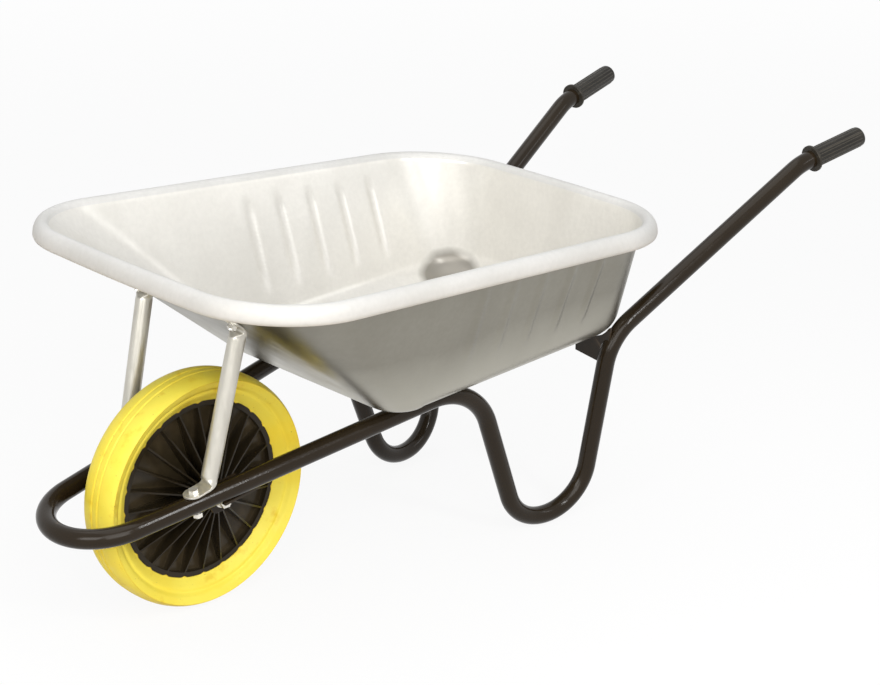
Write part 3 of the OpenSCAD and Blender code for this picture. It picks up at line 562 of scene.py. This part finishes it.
# %% Sweep a circle along it
def swept_tube(name, line, radius, material, sides=32, wall=0.002):
    """A tube whose rings stay square to the line, with a turned-in open end."""
    rings, previous = [], Vector((0, 0, 1))
    for i, point in enumerate(line):
        ahead = (line[min(i + 1, len(line) - 1)] - line[max(i - 1, 0)]).normalized()
        across = (previous - ahead * previous.dot(ahead)).normalized()
        previous = across
        over = ahead.cross(across)
        rings.append([point + (across * math.cos(a) + over * math.sin(a)) * radius
                      for a in (2 * math.pi * k / sides for k in range(sides))])
    def shrunk(ring, centre, depth, inward):
        return [centre + (p - centre) * ((radius - wall) / radius) + inward * depth for p in ring]
    first_dir, last_dir = (line[1] - line[0]).normalized(), (line[-2] - line[-1]).normalized()
    ends = [shrunk(rings[0], line[0], 0.02, first_dir), shrunk(rings[0], line[0], 0.0, first_dir)]
    tail = [shrunk(rings[-1], line[-1], 0.0, last_dir), shrunk(rings[-1], line[-1], 0.02, last_dir)]
    rings = ends + rings + tail
    points = [p for ring in rings for p in ring]
    return make_object(name, points, skin(len(rings), sides), [material])


place(swept_tube("frame_tube_painted", tube_line, tube_r, black_paint), "barrow", "black_paint", "frame_tube")

# %% [markdown]
# ## The tray
# The tray is one sheet pressed over a tool. Its floor and its rim are rounded outlines of different
# size, and the walls run straight between them. A section at each step round the outline is: fillet
# from the floor, straight wall, roll over the crest, flared lip and a small hem. The sheet is 1 mm
# thick, so the skin is made twice, underside and inside, and joined at the hem and at the floor.

# %% The outline of rim and floor
sheet = 1.0
rim = dict(front=-102.5, front_w=306.1, rear=738.0, rear_w=276.9, front_r=141.0, rear_r=148.0,
           front_bow=7.3, rear_bow=5.2)
tray_floor = dict(front=216.7, front_w=209.0, rear=710.7, rear_w=195.6, front_r=54.0, rear_r=66.0,
                  front_bow=0.5, rear_bow=0.5)
corner_steps, bow_steps, side_steps, end_steps = 26, 8, 190, 10
bow_tangent = 60.0


def outline(front, front_w, rear, rear_w, front_r, rear_r, front_bow, rear_bow):
    """[point, outward normal] all the way round, in millimetres, seen from above."""
    corner = [Vector((front - front_bow, 0)), Vector((front, -front_w)), Vector((rear, -rear_w)),
              Vector((rear + rear_bow, 0)), Vector((rear, rear_w)), Vector((front, front_w))]
    radius = [None, front_r, rear_r, None, rear_r, front_r]
    arcs = []
    for i, b in enumerate(corner):
        a, c = corner[i - 1], corner[(i + 1) % 6]
        u, v = (b - a).normalized(), (c - b).normalized()
        turn = u.angle(v)
        r = bow_tangent / math.tan(turn / 2) if radius[i] is None else radius[i]
        centre = b - u * (r * math.tan(turn / 2)) + Vector((-u.y, u.x)) * r
        steps = bow_steps if i % 3 == 0 else corner_steps
        arc = []
        for k in range(steps + 1):
            q = turn * k / steps
            n = Vector((u.y, -u.x)) * math.cos(q) + u * math.sin(q)
            arc.append((centre + n * r, n))
        arcs.append(arc)
    ring = []
    for i, arc in enumerate(arcs):
        ring.extend(arc)
        (p, n), (q, m) = arc[-1], arcs[(i + 1) % 6][0]
        steps = side_steps if i % 3 == 1 else end_steps
        ring.extend((p.lerp(q, k / steps), n.lerp(m, k / steps)) for k in range(1, steps))
    return ring


crest_ring, floor_ring = outline(**rim), outline(**tray_floor)
print("outline steps:", len(crest_ring), len(floor_ring))

# %% The height of the floor and of the crest
leg_top = right_side[right_side.index(rail_top) - 1]
apex_bend = radii[right_side.index(rail_top)]
toward = ((loop_corner - rail_top).normalized() + (leg_top - rail_top).normalized()).normalized()
apex_centre = rail_top + toward * (apex_bend / math.cos(half_turn(loop_corner, rail_top, leg_top)))
apex_normal = (rail_top - loop_corner).cross(leg_top - rail_top).normalized()
paint_gap, floor_gap = 0.00025, 0.2
highest = (apex_centre.z + apex_bend * math.sqrt(1 - apex_normal.z ** 2) + tube_r + paint_gap) * 1000
highest_x = (apex_centre.x - axle_x) * 1000
floor_rise, rim_fall, rim_z = 0.031, 0.0622, 540.0


def floor_z(x):
    """The underside of the floor, in millimetres: it rests on the rails and rises a little to the rear."""
    return highest + floor_gap + floor_rise * (x - highest_x)


def crest_z(x):
    """The top of the rim, in millimetres: it falls towards the rear."""
    return rim_z - rim_fall * x


print("floor under side at the rail top:", round(floor_z(highest_x), 2), "mm")

# %% [markdown]
# ### Flutes in the side walls
# A large flat wall of thin sheet drums and dents, so side walls are given pressed flutes: plain upright
# grooves, evenly spaced, that fade out before the fillet and the rim. They are a small push along the
# wall's normal, with soft shoulders, in both skins alike.

# %% The depth of a flute at a place on the wall
flute_depth, flute_half, flute_gap, flute_count, flute_middle = 2.8, 11.0, 62.0, 5, 445.0


def soft_step(low, high, value):
    t = min(1.0, max(0.0, (value - low) / (high - low)))
    return t * t * (3 - 2 * t)


def flute(x, up_share, side):
    """How far the wall is pushed out, in millimetres."""
    if abs(side) < 0.9:
        return 0.0
    depth = 0.0
    for k in range(flute_count):
        away = abs(x - flute_middle - (k - (flute_count - 1) / 2) * flute_gap)
        depth = max(depth, 1 - soft_step(0.0, flute_half, away))
    return flute_depth * depth * soft_step(0.10, 0.30, up_share) * (1 - soft_step(0.72, 0.90, up_share))


# %% One section of the tray
fillet_r, roll_w, roll_h, lip_out, lip_h, hem_drop, hem_in = 46.0, 9.0, 8.0, 13.9, 26.5, 0.82, 3.0
fillet_steps, wall_steps, roll_steps, lip_steps = 12, 30, 8, 12


def tray_section(j):
    """[point under the sheet, normal into the tray] from the floor's edge to the hem."""
    f, fn = floor_ring[j]
    c, cn = crest_ring[j]
    base = Vector((f.x, f.y, floor_z(f.x)))
    top = c - cn * roll_w
    top = Vector((top.x, top.y, crest_z(top.x) - roll_h - sheet))
    n = Vector((-fn.x, -fn.y, -fn.x * floor_rise)).normalized()
    w = (top - base).normalized()
    between = n.angle(w)
    centre = base + (n + w).normalized() * (fillet_r / math.sin(between / 2))
    start = base + n * (fillet_r / math.tan(between / 2)) - centre
    end = base + w * (fillet_r / math.tan(between / 2)) - centre
    arc = math.pi - between
    section = []
    for k in range(fillet_steps + 1):
        s = k / fillet_steps
        v = (start * math.sin((1 - s) * arc) + end * math.sin(s * arc)) / math.sin(arc)
        section.append((centre + v, -v.normalized()))
    foot, wall_n = section[-1]
    for k in range(1, wall_steps + 1):
        s = k / wall_steps
        p = foot.lerp(top, s)
        section.append((p - wall_n * flute(p.x, s, cn.y), wall_n))
    def lip_point(out, up, n_out, n_up):
        m = Vector((cn.x * n_out, cn.y * n_out, n_up)).normalized()
        q = c + cn * out
        section.append((Vector((q.x, q.y, crest_z(c.x) + up)) - m, m))
    for k in range(1, roll_steps + 1):
        b = math.pi / 2 * k / roll_steps
        lip_point(-roll_w * math.cos(b), -roll_h * (1 - math.sin(b)),
                  -roll_h * math.cos(b), roll_w * math.sin(b))
    for k in range(1, lip_steps + 1):
        b = math.pi / 2 * k / lip_steps
        lip_point(lip_out * math.sin(b), -lip_h * hem_drop * (1 - math.cos(b)),
                  lip_h * hem_drop * math.sin(b), lip_out * math.cos(b))
    lip_point(lip_out - hem_in * 0.35, -lip_h * 0.94, 0.95, -0.3)
    lip_point(lip_out - hem_in, -lip_h, 0.8, -0.6)
    return section


sections = [tray_section(j) for j in range(len(crest_ring))]
print("sections:", len(sections), "points in each:", len(sections[0]))

# %% Join the sections into the sheet
ring_size, ring_count = len(sections), len(sections[0])
floor_shares = (0.0, 0.12, 0.45, 0.75, 0.98)
floor_middle = Vector((sum(s[0][0].x for s in sections) / ring_size, 0.0, 0.0))


def floor_point(j, k, lift):
    """A point of the flat floor, from near its middle out to the fillet."""
    edge = sections[j][0][0]
    p = floor_middle.lerp(Vector((edge.x, edge.y, 0.0)), floor_shares[k])
    return Vector((p.x, p.y, floor_z(p.x) + lift))


def to_frame(p):
    return Vector((axle_x + p.x / 1000, p.y / 1000, p.z / 1000))


points, faces, face_slots = [], [], []
inner_rings = len(floor_shares) - 1
for lift, inside in ((0.0, False), (sheet, True)):
    start = len(points)
    points.append(to_frame(floor_point(0, 0, lift)))
    for k in range(1, inner_rings + 1):
        points.extend(to_frame(floor_point(j, k, lift)) for j in range(ring_size))
    for k in range(ring_count):
        points.extend(to_frame(sections[j][k][0] + sections[j][k][1] * lift) for j in range(ring_size))
    fan = [(start, start + 1 + j, start + 1 + (j + 1) % ring_size) for j in range(ring_size)]
    quads = skin(inner_rings + ring_count, ring_size, start=start + 1)
    walls_end = (inner_rings + fillet_steps + wall_steps) * ring_size
    for i, face in enumerate(fan + quads):
        on_rim = i - ring_size >= walls_end
        faces.append(face if inside else tuple(reversed(face)))
        face_slots.append(2 if on_rim and inside else 0 if inside else 1)
hem_under = 1 + (inner_rings + ring_count - 1) * ring_size
hem_inside = hem_under + len(points) // 2
for j in range(ring_size):
    i = (j + 1) % ring_size
    faces.append((hem_inside + j, hem_inside + i, hem_under + i, hem_under + j))
    face_slots.append(2)
tray = make_object("tray_pressed", points, faces, [zinc_inside, zinc_outside, zinc_rim], face_slots, 50.0)
place(tray, "barrow", "galvanised_sheet", "tray")

# %% [markdown]
# ## The front stays
# Each stay is a 25 mm tube whose ends were flattened in a press and bent over, one to lie on the rail
# and one under the tray. A section is a rounded rectangle: its power runs from 2, a circle, to 8, a
# flat strip with round edges, so the same formula makes the tube, the crimp and the flat nose.

# %% The line of a stay and its sections
# Section sizes in millimetres, then the places of the two ends in metres
stay_r, flat_half_t, flat_half_w, crimp, top_half_w = 12.5, 1.75, 15.5, 16.0, 108.0
foot_ahead, foot_root, foot_aside, foot_gap = 0.074, 0.025, 0.004, 0.0002
top_drop, top_root, top_gap = 0.119, 0.012, 0.0003
rail_dir = (rail_top - loop_corner).normalized()
rail_point = loop_corner + rail_dir * ((axle_x - foot_ahead - loop_corner.x) / rail_dir.x)
rail_across = Vector((0, 0, 1)).cross(rail_dir).normalized()
rail_up = rail_dir.cross(rail_across)
bow, half_w = rim["front_bow"], rim["front_w"]
wall_low = mm(tray_floor["front"], top_half_w, floor_z(tray_floor["front"]))
crest_x = rim["front"] - bow * (1 - top_half_w / half_w) + roll_w
wall_high = mm(crest_x, top_half_w, crest_z(crest_x) - roll_h - sheet)
wall_dir = (wall_high - wall_low).normalized()
wall_bolt = wall_high - wall_dir * top_drop
bow_lean = bow / half_w * (wall_bolt - wall_low).length / (wall_high - wall_low).length
wall_out = wall_dir.cross(Vector((bow_lean, 1.0, 0.0))).normalized()
wall_across = wall_out.cross(wall_dir)
foot_level = tube_r + foot_gap + flat_half_t / 1000
top_level = top_gap + flat_half_t / 1000
print("stay foot on the rail at", [round(v, 4) for v in rail_point], "bolt in the wall at",
      [round(v, 4) for v in wall_bolt])

# %% Sections of a stay
def squashed_ring(centre, wide, thick, half_w, half_t, power, sides=40):
    """A closed ring between a circle (power 2) and a rounded rectangle (a high power)."""
    ring = []
    for k in range(sides):
        a = 2 * math.pi * (k + 0.5) / sides
        c, s = math.cos(a), math.sin(a)
        ring.append(centre + wide * (half_w * math.copysign(abs(c) ** (2 / power), c) / 1000)
                    + thick * (half_t * math.copysign(abs(s) ** (2 / power), s) / 1000))
    return ring


nose = (-15.45, -15.2, -14.4, -12.9, -10.8, -7.5, -4.0, 0.0)
strip_power, bend_length, crimp_steps = 8.0, 0.005, 12


def stay_end(bolt, away, across, out, root, crimp_dir):
    """Rings from the round nose of a flat end to the start of the round tube."""
    rings = []
    for u in nose:
        half = math.sqrt(flat_half_w ** 2 - u ** 2)
        rings.append(squashed_ring(bolt + away * (u / 1000), across, out, half, flat_half_t, strip_power))
    bend_start = bolt + away * (root - bend_length)
    rings.append(squashed_ring(bend_start, across, out, flat_half_w, flat_half_t, strip_power))
    knee = bolt + away * root
    for k in range(1, crimp_steps + 1):
        s = k / crimp_steps
        turned = away.lerp(crimp_dir, soft_step(0.0, 0.42, s)).normalized()
        thick = turned.cross(across).normalized()
        thick = thick if thick.dot(out) > 0 or s > 0.3 else -thick
        if k > 1 and thick.dot(last_thick) < 0:
            thick = -thick
        last_thick = thick
        wide = thick.cross(turned).normalized()
        wide = wide if wide.dot(across) > 0 else -wide
        path = knee - away * (bend_length * (1 - min(1.0, s * 3)) ** 2) + crimp_dir * (crimp * s / 1000)
        grow = soft_step(0.0, 1.0, s)
        rings.append(squashed_ring(path, wide, thick, flat_half_w + (stay_r - flat_half_w) * grow,
                                   flat_half_t + (stay_r - flat_half_t) * grow ** 0.8,
                                   strip_power + (2.0 - strip_power) * soft_step(0, 0.8, s)))
    return rings


# %% Build both stays
foot_bolt, top_bolt = rail_point + rail_up * foot_level, wall_bolt + wall_out * top_level
stay_foot = foot_bolt + rail_dir * foot_root - rail_across * foot_aside
stay_top = top_bolt - wall_dir * top_root
stay_dir = (stay_top - stay_foot).normalized()


def align(ring, target):
    """Starts and turns a ring so that its points lie nearest to the same points of another."""
    best = None
    for candidate in (ring, list(reversed(ring))):
        for shift in range(len(ring)):
            turned = candidate[shift:] + candidate[:shift]
            cost = sum((p - q).length_squared for p, q in zip(turned[::4], target[::4]))
            if best is None or cost < best[0]:
                best = (cost, turned)
    return best[1]


low = stay_end(foot_bolt, rail_dir, rail_across, rail_up, foot_root, stay_dir)
low = low[:len(nose)] + [[p - rail_across * foot_aside for p in ring] for ring in low[len(nose):]]
high = stay_end(top_bolt, -wall_dir, wall_across, wall_out, top_root, -stay_dir)
rings = low + list(reversed(high))
for i in range(1, len(rings)):
    rings[i] = align(rings[i], rings[i - 1])
stay_points = [p for ring in rings for p in ring]
sides = len(rings[0])
stay_faces = skin(len(rings), sides) + [tuple(reversed(range(sides))),
                                        tuple(range(len(stay_points) - sides, len(stay_points)))]
for side, name in ((1, "right_front_stay"), (-1, "left_front_stay")):
    side_points = [Vector((p.x, p.y * side, p.z)) for p in stay_points]
    side_faces = stay_faces if side == 1 else [tuple(reversed(f)) for f in stay_faces]
    stay = make_object(name + "_zinc", side_points, side_faces, [zinc_stay], sharp=38.0)
    place(stay, "barrow", "galvanised_tube", name)

# %% [markdown]
# ## The tyre
# The tyre is turned: a profile spun about the axle. The profile has a sidewall that leans out to the
# shoulder in two soft bulges with a valley between, a round tread, and two grooves with a narrow ridge
# beside each. At the inner edge, the foam stands a little way over the plastic between the ribs, which
# leaves small yellow teeth.

# %% The profile of the tyre
wheel_r, tread_depth, tread_half, tread_power = 178.0, 32.0, 45.0, 0.77
groove_y, groove_w, groove_deep = 6.5, 1.7, 2.4
inner_r, inner_half = 135.65, 12.5
bulge_out, valley_deep, valley_at, valley_w = 2.2, 3.0, 0.55, 0.10


def tread_point(q):
    """A point of the round tread, at an angle from the crown."""
    r = wheel_r - tread_depth + tread_depth * math.cos(q) ** tread_power
    return r, tread_half * math.copysign(abs(math.sin(q)) ** tread_power, q)


def grooved(r, y):
    """Cuts the two grooves into a point of the tread, with rounded edges."""
    for middle_y in (-groove_y, groove_y):
        r -= groove_deep * math.exp(-((y - middle_y) / groove_w) ** 4)
    return r


tread_turn, tread_steps, sidewall_steps = math.radians(47), 70, 40
edge_r, edge_y = tread_point(-tread_turn)
profile = []
for k in range(sidewall_steps):
    s = k / sidewall_steps
    bulge = bulge_out * math.sin(math.pi * s) - valley_deep * math.exp(-((s - valley_at) / valley_w) ** 2)
    profile.append((inner_r + (edge_r - inner_r) * s, -inner_half + (edge_y + inner_half) * s - bulge))
for k in range(-tread_steps, tread_steps + 1):
    r, y = tread_point(tread_turn * k / tread_steps)
    profile.append((grooved(r, y), y))
profile += [(r, -y) for r, y in reversed(profile[:sidewall_steps])]
print("profile points:", len(profile), "widest:", round(2 * max(y for r, y in profile), 1), "mm")

# %% Spin it round the axle
rib_count, tooth_deep, tooth_w = 24, 2.2, 0.09
spin_steps = 288
points = []
for k in range(spin_steps):
    turn = 2 * math.pi * k / spin_steps
    phase = (k * rib_count / spin_steps + 0.5) % 1.0 - 0.5
    tooth = tooth_deep * math.exp(-(phase / tooth_w) ** 4)
    for i, (r, y) in enumerate(profile):
        if i == 0 or i == len(profile) - 1:
            r -= tooth
        points.append(mm(r * math.cos(turn), y, wheel_r + r * math.sin(turn)))
tyre_faces = [tuple(reversed(f)) for f in skin(spin_steps, len(profile), closed=True)]
tyre = make_object("tyre_foam", points, tyre_faces, [yellow_foam], sharp=60.0)
place(tyre, "wheel", "yellow_tyre", "tyre")

# %% [markdown]
# ## CAD pieces that keep their shape
# Brackets, bolts, bushes, grips and the wheel's centre are already right. They get their finish, and
# a small bevel, because a perfectly sharp edge catches no light and reads as false.

# %% Give the CAD nodes their finishes
finishes = {
    "left_grip": grip_vinyl, "right_grip": grip_vinyl,
    "left_axle_bracket": black_paint, "right_axle_bracket": black_paint,
    "left_rear_bracket": black_paint, "right_rear_bracket": black_paint,
    "wheel_centre": black_plastic, "left_wheel_bush": grey_nylon, "right_wheel_bush": grey_nylon,
}
bevels = {"wheel_centre": 0.0007, "left_axle_bracket": 0.0008, "right_axle_bracket": 0.0008,
          "left_rear_bracket": 0.0008, "right_rear_bracket": 0.0008}
replaced = {"frame_tube", "tray", "left_front_stay", "right_front_stay", "tyre"}
for name, node in nodes.items():
    if name in replaced:
        continue
    node.data.materials.clear()
    node.data.materials.append(finishes.get(name, zinc_bolt))
    weld = node.modifiers.new("weld", "WELD")
    weld.merge_threshold = 0.00002
    bevel = node.modifiers.new("bevel", "BEVEL")
    bevel.width = bevels.get(name, 0.0004)
    bevel.segments = 2
    bevel.limit_method = "ANGLE"
    bevel.angle_limit = math.radians(40)
    print(name, "->", node.data.materials[0].name)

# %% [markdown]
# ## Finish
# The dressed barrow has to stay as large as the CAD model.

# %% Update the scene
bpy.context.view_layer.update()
